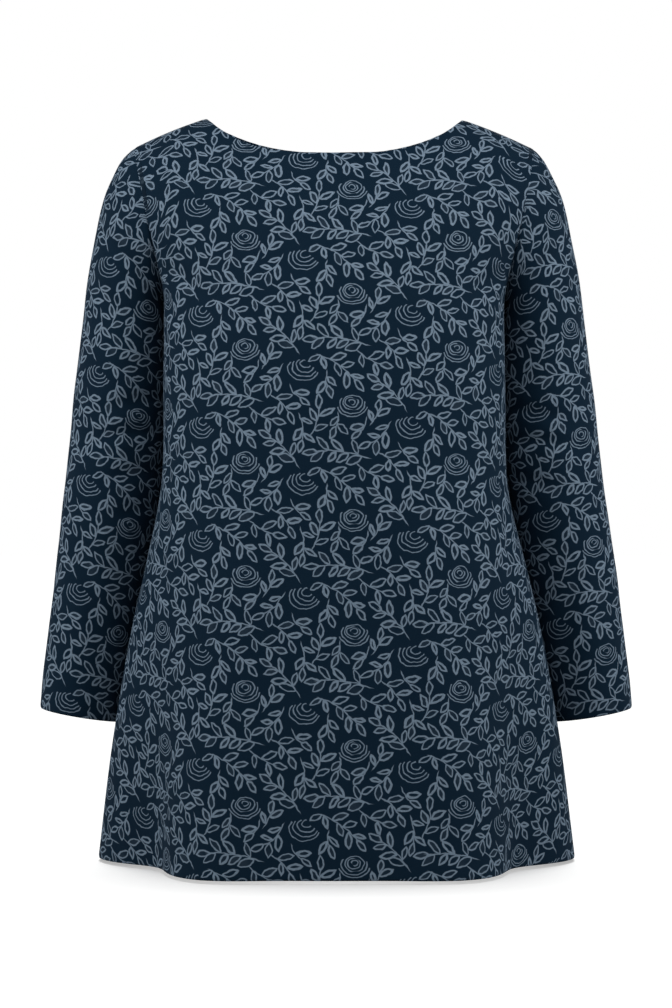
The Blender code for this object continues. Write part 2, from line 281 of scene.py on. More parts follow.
def spaced(points: np.ndarray, shares: np.ndarray) -> np.ndarray:
    """Points at given shares of the length of a fine line."""
    lengths = lengths_along(points)
    return np.stack([np.interp(shares * lengths[-1], lengths, points[:, k]) for k in range(3)], -1)


@dataclass(frozen=True)
class BodyForm:
    """The body's form: a rounded chest above the underarms and a flared, folded skirt below them."""

    neck_x: float = 0.134
    front_neck_drop: float = 0.042
    back_neck_drop: float = 0.027
    front_neck_power: float = 3.5
    back_neck_power: float = 2.6
    armhole_swell: float = 0.060
    armhole_power: float = 1.6
    chest_power: float = 2.6
    neck_columns: int = 45
    shoulder_columns: int = 25
    armhole_rows: int = 46
    skirt_rows: int = 140
    fine_steps: int = 480
    row_crowding: float = 0.92
    sway: float = -0.0018
    tilt: float = -0.0008
    sway_top_z: float = -0.350
    sway_end_z: float = -0.500
    edge_steps: tuple[float, ...] = (0.0032, 0.0018, 0.0008)
    half_panel: float = 0.240
    side_zone: float = 0.60

    @property
    def side_columns(self) -> int:
        """Columns from the centre line to the side."""
        return self.neck_columns + self.shoulder_columns + len(self.edge_steps)

    def fold_height(self, bearing: np.ndarray, z: float) -> np.ndarray:
        """How far the folds move the skirt outwards.

        Args:
            bearing: Degrees round the body from the centre front.
            z: Height of the section.

        Returns:
            The move at each bearing, in metres.
        """
        total = np.zeros_like(bearing)
        for fold in FOLDS:
            grown = np.clip((fold.top - z) / (fold.top - HEM_Z), 0, 1) ** fold.growth
            away = (bearing - fold.bearing + 180) % 360 - 180
            total += fold.height * grown * np.exp(-((away / fold.spread) ** 2) / 2)
        return total

    def skirt_section(self, bearing: np.ndarray, z: float) -> np.ndarray:
        """Points of a level section below the underarms.

        Args:
            bearing: Degrees round the body from the centre front.
            z: Height of the section.

        Returns:
            One point for each bearing.
        """
        angle = np.radians(bearing)
        across, forward = np.sin(angle), np.cos(angle)
        power = level("squareness", z)
        depth = np.where(forward > 0, level("front_depth", z), level("back_depth", z))
        reach = (np.abs(across) / level("half_width", z)) ** power + (np.abs(forward) / depth) ** power
        radius = reach ** (-1 / power) + self.fold_height(bearing, z)
        return np.stack([radius * across, level("side_y", z) - radius * forward, np.full_like(across, z)], -1)

    def shoulder_ridge(self, x: np.ndarray) -> np.ndarray:
        """Height of the shoulder line at x."""
        return SHOULDER_Z * (x**2 - self.neck_x**2) / (SHOULDER_X**2 - self.neck_x**2)

    def chest_y(self, x: np.ndarray, z: np.ndarray, facing: Facing) -> np.ndarray:
        """Depth of the cloth above the underarms, rounded over the shoulder line and in to the armhole.

        Args:
            x: Distance from the centre line.
            z: Height.
            facing: The panel.

        Returns:
            y at each place.
        """
        share = np.clip((z - UNDERARM_Z) / (SHOULDER_Z - UNDERARM_Z), 0, 1)
        half_width = level("half_width", z) + self.armhole_swell * share**self.armhole_power
        ridge = self.shoulder_ridge(x)
        down = np.clip((ridge - z) / (ridge - UNDERARM_Z), 0, 1)
        fall = np.sqrt(1 - (1 - down) ** self.chest_power)
        depth = level("front_depth" if facing is Facing.FRONT else "back_depth", z)
        power = level("squareness", z)
        inward = np.clip(1 - np.minimum(x / half_width, 1) ** power, 0, 1) ** (1 / power)
        return level("side_y", z) + facing.value * depth * fall * inward

    def top_height(self, x: np.ndarray, facing: Facing) -> np.ndarray:
        """Height of a panel's upper edge: the neckline, then the shoulder seam.

        Args:
            x: Distance from the centre line.
            facing: The panel.

        Returns:
            z at each x.
        """
        drop, power = self.front_neck_drop, self.front_neck_power
        if facing is Facing.BACK:
            drop, power = self.back_neck_drop, self.back_neck_power
        neckline = -drop * (1 - np.minimum(x / self.neck_x, 1) ** power)
        return np.where(x < self.neck_x, neckline, self.shoulder_ridge(x))

    def chest_row(self, down: float, facing: Facing) -> np.ndarray:
        """A fine half row of the chest, from the centre line to the armhole.

        Args:
            down: 0 at the upper edge and 1 at the underarm.
            facing: The panel.

        Returns:
            The row's points on the +X side.
        """
        even = np.sin(np.linspace(0, np.pi / 2, self.fine_steps))
        share = np.union1d(even, self.neck_x / SHOULDER_X)
        top = self.top_height(share * SHOULDER_X, facing)
        z = top + (UNDERARM_Z - top) * down
        x = share * (SHOULDER_X + (UNDERARM_X - SHOULDER_X) * down)
        return np.stack([x, self.chest_y(x, z, facing), z], -1)

    def top_shares(self, facing: Facing) -> np.ndarray:
        """Shares of the upper edge's length at which its columns stand, one of them at the neck point.

        Args:
            facing: The panel.

        Returns:
            The share of each column.
        """
        edge = self.chest_row(0, facing)
        lengths = lengths_along(edge) / lengths_along(edge)[-1]
        neck = np.linspace(0, np.interp(self.neck_x, edge[:, 0], lengths), self.neck_columns + 1)
        x = np.linspace(self.neck_x, SHOULDER_X, self.shoulder_columns + 1)[1:-1]
        x = np.concatenate([x, SHOULDER_X - np.array(self.edge_steps), [SHOULDER_X]])
        return np.concatenate([neck, np.interp(x, edge[:, 0], lengths)])

    def even_shares(self) -> np.ndarray:
        """Shares of a row's length at which its columns stand below the underarm, closer at the side.

        Returns:
            The share of each column.
        """
        count = self.neck_columns + self.shoulder_columns
        even = np.linspace(0, 1, count + 1)[:-1]
        return np.concatenate([even, 1 - np.array(self.edge_steps) / self.half_panel, [1.0]])

    def downs(self) -> np.ndarray:
        """How far down each row of the chest stands, closer together at the shoulder and the underarm."""
        even = np.arange(self.armhole_rows) / self.armhole_rows
        return even + self.row_crowding * ((1 - np.cos(np.pi * even)) / 2 - even)

    def skirt_heights(self) -> np.ndarray:
        """Heights of the rows below the underarm, closer together at the hem."""
        even = np.linspace(UNDERARM_Z, HEM_Z, self.skirt_rows + 1)[:-1]
        return np.concatenate([even, HEM_Z + np.array(self.edge_steps), [HEM_Z]])

    def half_rows(self, facing: Facing, side: int) -> np.ndarray:
        """Rows of half a panel from its top to its hem, from the centre line out.

        Args:
            facing: The panel.
            side: 1 for the +X half and -1 for the other.

        Returns:
            A grid of points.
        """
        even = self.even_shares()
        at_top = self.top_shares(facing)
        near_side = np.clip((even - self.side_zone) / (1 - self.side_zone), 0, 1)
        near_side = near_side**2 * (3 - 2 * near_side)
        top_length, under_length = (lengths_along(self.chest_row(k, facing))[-1] for k in (0, 1))
        rows = []
        for down in self.downs():
            line = self.chest_row(down, facing)
            length = lengths_along(line)[-1]
            usual = top_length + (under_length - top_length) * down
            share = at_top + (even - at_top) * down
            rows.append(spaced(line, (share * usual + near_side * (length - usual)) / length))
            rows[-1][:, 0] *= side
        start = 0 if facing is Facing.FRONT else 180
        bearings = side * np.linspace(start, 90, self.fine_steps)
        rows += [spaced(self.skirt_section(bearings, z), even) for z in self.skirt_heights()]
        grid = np.array(rows)
        grid[0, self.neck_columns :, 1] = level("side_y", grid[0, self.neck_columns :, 2])
        return grid

    def panel(self, facing: Facing) -> np.ndarray:
        """The whole grid of a panel, its columns in the order that turns its faces outwards.

        Args:
            facing: The panel.

        Returns:
            The grid of points.
        """
        right, left = self.half_rows(facing, 1), self.half_rows(facing, -1)
        if facing is Facing.FRONT:
            return np.concatenate([left[:, :0:-1], right], axis=1)
        return np.concatenate([right[:, :0:-1], left], axis=1)

    def swayed(self, grid: np.ndarray) -> np.ndarray:
        """The grid with its slight sideways hang and tilt, which fade out below the waist.

        Args:
            grid: The points.

        Returns:
            The moved points.
        """
        hang = np.clip((grid[..., 2] - self.sway_end_z) / (self.sway_top_z - self.sway_end_z), 0, 1)
        hang = hang**2 * (3 - 2 * hang)
        moved = grid.copy()
        moved[..., 2] += self.tilt * hang * np.sin(grid[..., 0] / SHOULDER_X * np.pi / 2)
        moved[..., 0] += self.sway * hang
        return moved


@dataclass(frozen=True)
class SleeveForm:
    """A sleeve's form: rings from the armhole to the cuff, just clear of the body's side."""

    body: BodyForm
    rings: int = 132
    cap_crowding: float = 1.35
    clearance: float = 0.0008
    clearance_ramp: float = 0.06
    armhole_fade: float = 0.30
    cap_lean: float = 0.0015
    cap_lean_start: float = 0.04
    cap_lean_end: float = 0.60
    underarm_tuck: float = 0.004
    tuck_start: float = 0.02
    tuck_end: float = 0.25
    softness: float = 0.0005
    side_steps: int = 60
    level_share: float = 0.50
    edge_shares: tuple[float, ...] = (0.9947, 0.9970, 0.9987)
    edge_room: float = 0.004

    def armhole(self, side: Side, front: np.ndarray, back: np.ndarray) -> np.ndarray:
        """The armhole that the panels leave, from the underarm round by the shoulder and back.

        Args:
            side: The sleeve.
            front: Grid of the front panel.
            back: Grid of the back panel.

        Returns:
            A closed line of points, its first and last the same.
        """
        rows = self.body.armhole_rows + 1
        front_edge = front[:rows, -1 if side is Side.LEFT else 0]
        back_edge = back[:rows, 0 if side is Side.LEFT else -1]
        before, after = (front_edge, back_edge) if side is Side.LEFT else (back_edge, front_edge)
        return np.concatenate([before[::-1], after[1:]])

    def level_ring(self, count: int) -> int:
        """Number of the ring that lies level on the flat cut, near the elbow."""
        shares = np.linspace(0, 1, self.rings + 1)[1:-1] ** self.cap_crowding
        return min(int(np.searchsorted(shares, self.level_share)) + 1, count - 1)

    def side_sections(self) -> list[np.ndarray]:
        """Fine level sections of the body's +X side, from the hem up to the underarm.

        Returns:
            The sections' points, one array for each height.
        """
        bearings = np.linspace(1, 179, self.body.fine_steps)
        heights = np.linspace(HEM_Z, UNDERARM_Z, self.side_steps)
        return [self.body.skirt_section(bearings, height) for height in heights]

    def side_limit(self, sections: list[np.ndarray], y: np.ndarray, z: np.ndarray) -> np.ndarray:
        """Half width of the body at depths y and heights z below the underarm.

        Args:
            sections: The body's side sections.
            y: Depths.
            z: Heights.

        Returns:
            x of the body's surface there, on the +X side.
        """
        step = (UNDERARM_Z - HEM_Z) / (self.side_steps - 1)
        table = np.array([np.interp(y, section[:, 1], section[:, 0]) for section in sections])
        place = np.clip((z - HEM_Z) / step, 0, self.side_steps - 1.001)
        low = place.astype(int)
        columns = np.arange(len(y))
        below, above = table[low, columns], table[low + 1, columns]
        return below + (above - below) * (place - low)

    def grid(self, side: Side, front: np.ndarray, back: np.ndarray) -> np.ndarray:
        """Rings of the sleeve from the armhole to the cuff, cut open along the underarm seam.

        Args:
            side: The sleeve.
            front: Grid of the front panel.
            back: Grid of the back panel.

        Returns:
            The grid of points.
        """
        armhole = self.armhole(side, front, back)
        sections = self.side_sections()
        downs = np.concatenate([self.body.downs(), [1.0]])
        quarter = np.arccos(1 - 2 * downs)
        turn = np.concatenate([-quarter[::-1], quarter[1:]])
        even = np.linspace(0, 1, self.rings + 1)[1:-1] ** self.cap_crowding
        alongs = np.concatenate([even[even < self.edge_shares[0] - self.edge_room], self.edge_shares, [1.0]])
        first_y = RINGS[0].centre_y + side.value * RINGS[0].half_depth * np.sin(turn)
        grid = [armhole]
        for along in alongs:
            outer_x, outer_z, inner_x, inner_z, centre_y, half_depth = (
                smooth_column(RINGS, "along", name, along)
                for name in ("outer_x", "outer_z", "inner_x", "inner_z", "centre_y", "half_depth")
            )
            lean = self.cap_lean * min(along / self.cap_lean_start, 1) * max(1 - along / self.cap_lean_end, 0)
            tuck = self.underarm_tuck * min(along / self.tuck_start, 1) * max(1 - along / self.tuck_end, 0)
            inner_x = inner_x - tuck
            share = (1 + np.cos(turn)) / 2
            x = inner_x + (outer_x - side.value * lean - inner_x) * share
            z = inner_z + (outer_z - inner_z) * share
            y = centre_y + side.value * half_depth * np.sin(turn)
            y += (armhole[:, 1] - first_y) * np.clip(1 - along / self.armhole_fade, 0, 1) ** 2
            limit = self.side_limit(sections, y, z) + self.clearance * min(along / self.clearance_ramp, 1)
            beside = limit + np.logaddexp(0, (x - limit) / self.softness) * self.softness
            x = np.where(z < UNDERARM_Z, beside, x)
            grid.append(np.stack([side.value * x, y, z], -1))
        return np.array(grid)


def flat_cut(grid: np.ndarray, centre: int, datum: int) -> np.ndarray:
    """Lays a grid flat: distance across from the centre column and up from the datum row, in metres.

    Args:
        grid: The points.
        centre: Column that is the straight grain.
        datum: Row that lies level on the flat cut.

    Returns:
        u and v at each point.
    """
    steps = np.gradient(grid, axis=0)
    down = steps / np.maximum(np.linalg.norm(steps, axis=-1, keepdims=True), 1e-9)
    edges = np.diff(grid, axis=1)
    along = (down[:, 1:] + down[:, :-1]) / 2
    along /= np.linalg.norm(along, axis=-1, keepdims=True)
    across = edges - (edges * along).sum(-1, keepdims=True) * along
    u = np.concatenate([np.zeros((len(grid), 1)), np.cumsum(np.linalg.norm(across, axis=-1), axis=1)], 1)
    u -= u[:, centre : centre + 1]
    fall = np.cumsum(np.linalg.norm(np.diff(grid, axis=0), axis=-1), axis=0)
    v = -np.concatenate([np.zeros((1, grid.shape[1])), fall])
    v -= v[datum : datum + 1]
    return np.stack([u, v], -1)


def outward_normals(grid: np.ndarray, rolled: bool) -> np.ndarray:
    """Unit normals of a grid whose columns run so that its faces turn outwards.

    Args:
        grid: The points.
        rolled: Whether the grid's first and last columns are one.

    Returns:
        A normal for each point.
    """
    around = np.concatenate([grid[:, -2:-1], grid, grid[:, 1:2]], 1) if rolled else grid
    across = np.gradient(around, axis=1)
    across = across[:, 1:-1] if rolled else across
    normal = np.cross(np.gradient(grid, axis=0), across)
    return normal / np.maximum(np.linalg.norm(normal, axis=-1, keepdims=True), 1e-12)


def distances(cut: np.ndarray, line: np.ndarray, step: float = 0.002) -> np.ndarray:
    """Distance on the flat cut from each point of a piece to a line.

    Args:
        cut: The grid's flat cut.
        line: Points along the line.
        step: How closely the line is sampled.

    Returns:
        The distance of each point, in metres.
    """
    lengths = lengths_along(line)
    at = np.linspace(0, lengths[-1], int(lengths[-1] / step) + 2)
    dense = np.stack([np.interp(at, lengths, line[:, k]) for k in range(2)], -1)
    return np.array([np.linalg.norm(row[:, None] - dense[None], axis=-1).min(axis=1) for row in cut])


# A crease widens from the first of these shares of its width by the second along its length. Each side of it
# has a slight ridge, and it tapers at both ends.
CREASE_WIDENING = (0.8, 0.4)
CREASE_RIDGE = 0.55
CREASE_TAPER = 0.8


def crease_moves(cut: np.ndarray, creases: Sequence[Crease], mirror: int = 1) -> np.ndarray:
    """How far the creases move each point of the cloth outwards.

    Args:
        cut: The grid's flat cut.
        creases: The creases of the piece.
        mirror: Sign of u that counts as positive in the table.

    Returns:
        The move of each point, in metres.
    """
    total = np.zeros(cut.shape[:2])
    for crease in creases:
        start = np.array([crease.u0 * mirror, crease.v0])
        run = np.array([crease.u1 * mirror, crease.v1]) - start
        length = np.linalg.norm(run)
        run /= length
        away = cut - start
        t = np.clip((away @ run) / length, 0, 1)
        aside = away @ np.array([-run[1], run[0]]) - mirror * crease.bow * 4 * t * (1 - t)
        q = aside / (crease.half_width * (CREASE_WIDENING[0] + CREASE_WIDENING[1] * t))
        taper = np.sin(np.pi * t) ** CREASE_TAPER
        total += crease.depth * taper * (1 - CREASE_RIDGE * q**2) * np.exp(-(q**2))
    return total


@dataclass(frozen=True)
class ClothWall:
    """Thickness of the cloth and of its turned and overlocked edges, and how they lie."""

    thickness: float = 0.0010
    turned: float = 0.0022
    hem_depth: float = 0.018
    seam_allowance: float = 0.007
    step: float = 0.0012
    puff: float = 0.0007
    groove: float = 0.0022
    puff_reach: float = 0.013
    roll: float = 0.0009
    roll_width: float = 0.0035
    edge_round: float = 0.00035
    round_segments: int = 2
    round_angle: float = 55.0
    seam_share: float = 0.7

    def seam_lift(self, to_seam: np.ndarray) -> np.ndarray:
        """How far the cloth stands out beside a sewn seam, which lies in the groove between."""
        rise = 1 - np.exp(-((to_seam / self.groove) ** 2))
        return self.puff * rise * np.exp(-((to_seam / self.puff_reach) ** 2))

    def edge_roll(self, to_edge: np.ndarray) -> np.ndarray:
        """How far a turned edge rolls inwards."""
        return -self.roll * np.clip(1 - to_edge / self.roll_width, 0, 1) ** 2

    def turned_share(self, to_seam: np.ndarray, to_edge: np.ndarray) -> np.ndarray:
        """1 where the cloth is double on the inside, at seam allowances and turned edges, and 0 elsewhere.

        Args:
            to_seam: Distance of each point to the nearest sewn edge.
            to_edge: Distance of each point to the nearest turned edge.

        Returns:
            The share of the double thickness at each point.
        """
        seam = np.clip((self.seam_allowance - to_seam) / self.step, 0, 1)
        edge = np.clip((self.hem_depth - to_edge) / self.step, 0, 1)
        return np.maximum(seam * self.seam_share, edge)


def cloth_object(
    name: str, grid: np.ndarray, cut: np.ndarray, turned: np.ndarray, wall: ClothWall, rolled: bool
) -> bpy.types.Object:
    """Makes a piece of cloth: a flat grid, moved to its form, joined to a tube if it is rolled.

    Args:
        name: Name of the piece.
        grid: Where each point of the cloth lies.
        cut: The flat cut, which becomes the piece's map.
        turned: How far each point has the double thickness.
        wall: The cloth's thicknesses.
        rolled: Whether its first and last columns are one.

    Returns:
        The piece, linked to the scene.
    """
    rows, columns = grid.shape[:2]
    shape = bmesh.new()
    bmesh.ops.create_grid(shape, x_segments=columns - 1, y_segments=rows - 1, size=0.5)
    cut_map = shape.loops.layers.uv.new(CUT_MAP)
    weights = shape.verts.layers.deform.verify()
    places = {}
    for vertex in shape.verts:
        column = round((vertex.co.x + 0.5) * (columns - 1))
        row = rows - 1 - round((vertex.co.y + 0.5) * (rows - 1))
        places[vertex.index] = (row, column)
        vertex[weights][0] = float(turned[row, column])
    for face in shape.faces:
        face.smooth = True
        for loop in face.loops:
            loop[cut_map].uv = cut[places[loop.vert.index]]
    for vertex in shape.verts:
        vertex.co = grid[places[vertex.index]]
    if rolled:
        bmesh.ops.remove_doubles(shape, verts=shape.verts, dist=SAME_PLACE)
    mesh = bpy.data.meshes.new(name)
    shape.to_mesh(mesh)
    shape.free()
    piece = bpy.data.objects.new(name, mesh)
    bpy.context.scene.collection.objects.link(piece)
    piece.vertex_groups.new(name=TURNED_GROUP)
    solid = piece.modifiers.new("wall", "SOLIDIFY")
    solid.thickness = wall.turned
    solid.offset = -1
    solid.use_quality_normals = True
    solid.vertex_group = TURNED_GROUP
    solid.thickness_vertex_group = wall.thickness / wall.turned
    solid.material_offset = 1
    rounding = piece.modifiers.new("edge_round", "BEVEL")
    rounding.width = wall.edge_round
    rounding.segments = wall.round_segments
    rounding.limit_method = "ANGLE"
    rounding.angle_limit = math.radians(wall.round_angle)
    return piece


@dataclass(frozen=True)
class Unevenness:
    """The slight swell of cloth that hangs free: a few long waves across the flat cut."""

    height: float = 0.0009
    seam_fade: float = 0.016
    bend: float = 0.7
    bend_length: float = 1.7
    full_length: float = 0.17
    gain: float = 1.6
    phase_rate: float = 10.0
    waves: tuple[tuple[float, float, float], ...] = (
        (0.170, 0.9, 0.3),
        (0.118, 2.1, 1.9),
        (0.083, -0.4, 4.2),
        (0.061, 1.4, 2.6),
    )

    def moves(self, cut: np.ndarray, phase: float) -> np.ndarray:
        """How far the swell moves each point outwards.

        Args:
            cut: The grid's flat cut.
            phase: Where the waves start, so that each piece has its own.

        Returns:
            The move of each point, in metres.
        """
        total = np.zeros(cut.shape[:2])
        for length, bearing, start in self.waves:
            along = cut[..., 0] * math.cos(bearing) + cut[..., 1] * math.sin(bearing)
            aside = cut[..., 1] * math.cos(bearing) - cut[..., 0] * math.sin(bearing)
            bend = self.bend * np.sin(2 * np.pi * aside / (self.bend_length * length) + start + phase)
            total += np.sin(2 * np.pi * along / length + bend + start + phase) * length / self.full_length
        return total * self.height / len(self.waves) * self.gain


@dataclass
class ClothPiece:
    """What the four cut pieces share: their wall, their swell, and how their grid becomes an object."""

    wall: ClothWall
    swell: Unevenness
    print_place: tuple[float, float]

    def shape(
        self,
        name: str,
        grid: np.ndarray,
        cut: np.ndarray,
        creases: np.ndarray,
        to_seam: np.ndarray,
        to_edge: np.ndarray,
        rolled: bool,
    ) -> bpy.types.Object:
        """Gives a grid its creases, seams and edges and makes it a piece of cloth.

        Args:
            name: Name of the piece.
            grid: The form of its outer face.
            cut: Its flat cut.
            creases: How far its creases move each point.
            to_seam: Distance of each point to the nearest sewn edge.
            to_edge: Distance of each point to the nearest turned edge.
            rolled: Whether the piece closes to a tube.

        Returns:
            The piece.
        """
        free = np.clip(to_seam / self.swell.seam_fade, 0, 1)
        free = free**2 * (3 - 2 * free)
        moves = free * (creases + self.swell.moves(cut, self.swell.phase_rate * self.print_place[0]))
        moves += self.wall.seam_lift(to_seam) + self.wall.edge_roll(to_edge)
        shaped = grid + outward_normals(grid, rolled) * moves[..., None]
        turned = self.wall.turned_share(to_seam, to_edge)
        return cloth_object(name, shaped, cut + np.array(self.print_place), turned, self.wall, rolled)

    def dress(self, piece: bpy.types.Object, outside: bpy.types.Material, inside: bpy.types.Material) -> None:
        """Gives a piece its printed face and its reverse."""
        piece.data.materials.append(outside)
        piece.data.materials.append(inside)


@dataclass
class Panel(ClothPiece):
    """The front or the back of the body, cut in one piece from the neck to the hem."""

    facing: Facing
    form: BodyForm
    creases: Sequence[Crease]
    flat: tuple[float, float]
    area: float

    @property
    def node(self) -> str:
        """Name of the CAD node that the panel stands for."""
        return self.facing.name.lower()

    def build(self, grid: np.ndarray) -> bpy.types.Object:
        """Makes the panel.

        Args:
            grid: The form of its outer face.

        Returns:
            The piece.
        """
        centre = self.form.side_columns
        neck = slice(centre - self.form.neck_columns, centre + self.form.neck_columns + 1)
        cut = flat_cut(grid, centre, self.form.armhole_rows)
        sewn = (cut[:, 0], cut[:, -1], cut[0, : neck.start + 1], cut[0, neck.stop - 1 :])
        to_seam = np.minimum.reduce([distances(cut, line) for line in sewn])
        to_edge = np.minimum(distances(cut, cut[0, neck]), cut[..., 1] - cut[-1:, :, 1])
        creases = crease_moves(cut, self.creases)
        return self.shape(f"{self.node}_cloth", grid, cut, creases, to_seam, to_edge, rolled=False)

    def declare(self, piece: bpy.types.Object) -> None:
        """Hangs the panel from the body and hides the solid that it stands for.

        Args:
            piece: The panel's cloth.
        """
        declare_sheet(piece, self.node)


@dataclass
class Sleeve(ClothPiece):
    """A long set-in sleeve, cut in one piece and closed by its underarm seam."""

    side: Side
    form: SleeveForm
    creases: Sequence[Crease]
    flat: tuple[float, float]
    area: float

    @property
    def node(self) -> str:
        """Name of the CAD node that the sleeve stands for."""
        return f"sleeve_{self.side.name.lower()}"

    def build(self, grid: np.ndarray) -> bpy.types.Object:
        """Makes the sleeve.

        Args:
            grid: The form of its outer face.

        Returns:
            The piece.
        """
        cut = flat_cut(grid, self.form.body.armhole_rows, self.form.level_ring(len(grid)))
        cut[..., 1] -= cut[0, 0, 1]
        sewn = (cut[0], cut[:, 0], cut[:, -1])
        to_seam = np.minimum.reduce([distances(cut, line) for line in sewn])
        to_seam[:, -1] = to_seam[:, 0] = np.minimum(to_seam[:, 0], to_seam[:, -1])
        to_edge = cut[..., 1] - cut[-1:, :, 1]
        to_edge[:, -1] = to_edge[:, 0]
        creases = crease_moves(cut, self.creases, mirror=-self.side.value)
        return self.shape(f"{self.node}_cloth", grid, cut, creases, to_seam, to_edge, rolled=True)

    def declare(self, piece: bpy.types.Object) -> None:
        """Hangs the sleeve from the body and hides the solid that it stands for."""
        declare_sheet(piece, self.node)


def declare_sheet(
    piece: bpy.types.Object,
    node: str,
) -> None:
    """Ties a piece of cloth to the body and hides the solid that it stands for.

    Args:
        piece: The cloth.
        node: The solid that it stands for.
    """
    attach(piece, "root")
    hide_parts(node)


def linear(colour: str) -> tuple[float, float, float, float]:
    """Linear colour of an sRGB hex value."""
    parts = [int(colour[k : k + 2], 16) / 255 for k in (1, 3, 5)]
    return (*(p / 12.92 if p <= 0.04045 else ((p + 0.055) / 1.055) ** 2.4 for p in parts), 1.0)


def add_node(tree: bpy.types.NodeTree, kind: str, inputs: dict | Sequence, **settings: Any) -> bpy.types.Node:
    """Adds a node with its settings, values and links.

    Args:
        tree: The tree to add it to.
        kind: The node's type, less the ShaderNode that each begins with.
        inputs: Value of each input, or the socket that feeds it, or the node whose first live socket does.
            They are in order, or by name.
        settings: The node's own properties.

    Returns:
        The node.
    """
    node = tree.nodes.new(f"ShaderNode{kind}")
    for name, value in settings.items():
        setattr(node, name, value)
    for key, value in inputs.items() if isinstance(inputs, dict) else enumerate(inputs):
        if isinstance(value, bpy.types.Node):
            value = next(socket for socket in value.outputs if socket.enabled)
        if isinstance(value, bpy.types.NodeSocket):
            tree.links.new(value, node.inputs[key])
        else:
            node.inputs[key].default_value = value
    return node


@dataclass(frozen=True)
class Arc:
    """A drawn line: part of a circle, towards a bearing from its centre, in degrees."""

    x: float
    y: float
    radius: float
    towards: float
    sweep: float


@dataclass(frozen=True)
class Leaf:
    """A pointed leaf round its middle. inked is how far its outline thickens inwards."""

    x: float
    y: float
    heading: float
    length: float
    width: float
    inked: float


@dataclass(frozen=True)
class LeafHabit:
    """How the leaves of a stem vary, so that no two are drawn alike.

    The changes are waves along the stem, and each rate is how far its wave runs on from leaf to leaf.
    """

    before_first: float = 0.55
    after_last: float = 0.35
    shift: float = 0.16
    shift_rate: float = 3.7
    length_change: float = 0.15
    length_rate: float = 2.4
    width_share: float = 0.40
    width_change: float = 0.05
    width_rate: float = 3.1
    turn: float = 9.0
    turn_rate: float = 1.9
    stalk: float = 0.8
    inked: float = 0.26
    inked_change: float = 0.22
    inked_rate: float = 5.0
    tip_length: float = 0.98
    tip_width: float = 0.42
    tip_inked: float = 0.22


HABIT = LeafHabit()


@dataclass(frozen=True)
class Stem:
    """A curved stem with leaves to its left and right in turn. bend is how far it turns, in degrees."""

    x: float
    y: float
    heading: float
    length: float
    bend: float
    leaves: int
    first_side: int
    splay: float
    leaf: float

    def line(self) -> Arc:
        """The stem itself.

        Returns:
            The arc that it is drawn along.
        """
        turn, heading = math.radians(self.bend), math.radians(self.heading)
        side = math.copysign(1, turn)
        radius = self.length / abs(turn)
        x = self.x - side * radius * math.sin(heading)
        y = self.y + side * radius * math.cos(heading)
        towards = math.degrees(heading + turn / 2 - side * math.pi / 2)
        return Arc(x, y, radius, towards, abs(self.bend))

    def at(self, share: float) -> tuple[float, float, float]:
        """Place and heading of the stem at a share of its length.

        Args:
            share: How far along it is, from 0 to 1.

        Returns:
            x, y and the heading in degrees.
        """
        line = self.line()
        heading = self.heading + self.bend * share
        bearing = math.radians(heading) - math.copysign(math.pi / 2, self.bend)
        x = line.x + line.radius * math.cos(bearing)
        return x, line.y + line.radius * math.sin(bearing), heading

    def sprays(self) -> list[Leaf]:
        """The stem's leaves, which vary a little, with one at its tip.

        Returns:
            The leaves, from the first to the tip.
        """
        made = []
        side = self.first_side
        for k in range(self.leaves):
            shift = HABIT.shift * math.sin(HABIT.shift_rate * k + self.x)
            x, y, heading = self.at((k + HABIT.before_first + shift) / (self.leaves + HABIT.after_last))
            length = self.leaf * (1 + HABIT.length_change * math.sin(HABIT.length_rate * k + self.x))
            width = HABIT.width_share + HABIT.width_change * math.cos(HABIT.width_rate * k + self.y)
            heading += side * (self.splay + HABIT.turn * math.sin(HABIT.turn_rate * k + self.y))
            inked = HABIT.inked + HABIT.inked_change * math.sin(HABIT.inked_rate * k + self.y)
            made.append(self.leaf_from(x, y, heading, length, width, inked, HABIT.stalk))
            side = -side
        x, y, heading = self.at(1)
        length = self.leaf * HABIT.tip_length
        made.append(self.leaf_from(x, y, heading, length, HABIT.tip_width, HABIT.tip_inked, 0))
        return made

    @staticmethod
    def leaf_from(
        x: float, y: float, heading: float, length: float, width: float, inked: float, stalk: float
    ) -> Leaf:
        """Places a leaf that grows from the stem.

        Args:
            x: Where its stalk starts, across.
            y: Where its stalk starts, up.
            heading: The way that it points, in degrees.
            length: Its length.
            width: Its width as a share of its length.
            inked: How far its outline thickens inwards.
            stalk: Length of its stalk.

        Returns:
            The leaf.
        """
        bearing, reach = math.radians(heading), length / 2 + stalk
        x, y = x + reach * math.cos(bearing), y + reach * math.sin(bearing)
        return Leaf(x, y, heading, length, length * width, inked)


